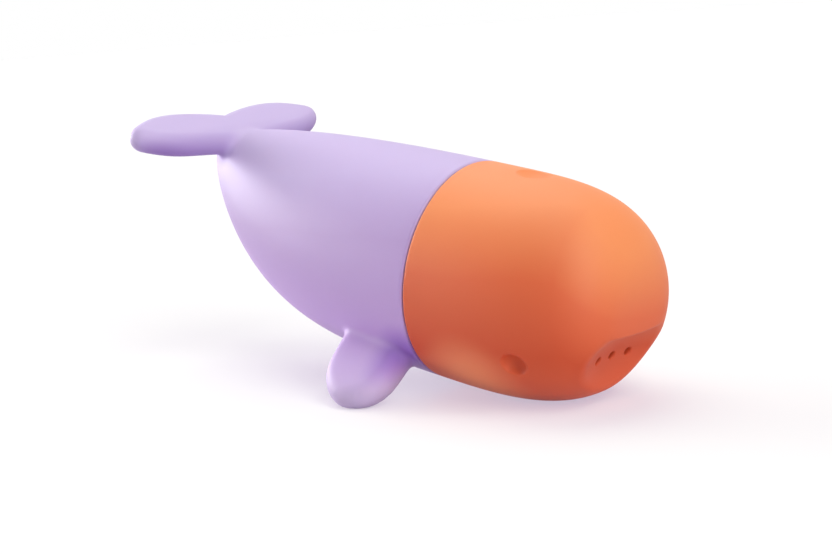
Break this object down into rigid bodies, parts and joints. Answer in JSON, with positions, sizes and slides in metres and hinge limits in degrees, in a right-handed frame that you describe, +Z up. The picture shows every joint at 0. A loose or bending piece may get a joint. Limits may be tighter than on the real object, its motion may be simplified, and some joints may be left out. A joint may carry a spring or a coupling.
{
  "type": "squeaky bath toy",
  "caption": "Hollow whale-shaped bath toy: a soft head cap pulls off the tail body for cleaning, and pressing its nose blows air through a reed behind the mouth.",
  "frame": {"origin": "middle of the toy's box on the surface that it stands on", "axes": "+X towards the nose along the toy's length, +Y to the toy's left, +Z up"},
  "size_m": [0.173, 0.081, 0.0846],
  "materials": {
    "tail_skin": "soft-touch matte, lavender",
    "head_skin": "soft-touch matte, orange",
    "collar_plastic": "fine moulded satin, off-white",
    "seal_rubber": "smooth, dark grey",
    "squeaker_plastic": "moulded gloss, white",
    "reed_brass": "rolled strip"
  },
  "bodies": {
    "tail": {"tail_shell": "tail_skin", "neck_collar": "collar_plastic", "collar_seal": "seal_rubber"},
    "head": {"head_shell": "head_skin", "head_ring": "collar_plastic"},
    "squeaker": {"squeaker_case": "squeaker_plastic", "reed_block": "squeaker_plastic", "reed_wedge": "squeaker_plastic", "squeaker_cover": "squeaker_plastic"},
    "tongue_reed": {"reed": "reed_brass"}
  },
  "joints": [
    {"name": "head_pull", "type": "slide", "parent": "tail", "child": "head", "axis": [0.9877, 0, -0.1564], "range_m": [0, 0.045]},
    {"name": "squeeze", "type": "slide", "parent": "head", "child": "squeaker", "axis": [-0.9877, 0, 0.1564], "range_m": [0, 0.01], "stiffness_N_per_m": 500, "deforming": ["head_shell"]},
    {"name": "reed_flex", "type": "hinge", "parent": "squeaker", "child": "tongue_reed", "pos_m": [0.06275, 0, 0.02136], "axis": [0, 1, 0], "range_deg": [-3.5, 3.5], "stiffness_Nm_per_rad": 0.00005, "deforming": ["reed"]}
  ]
}
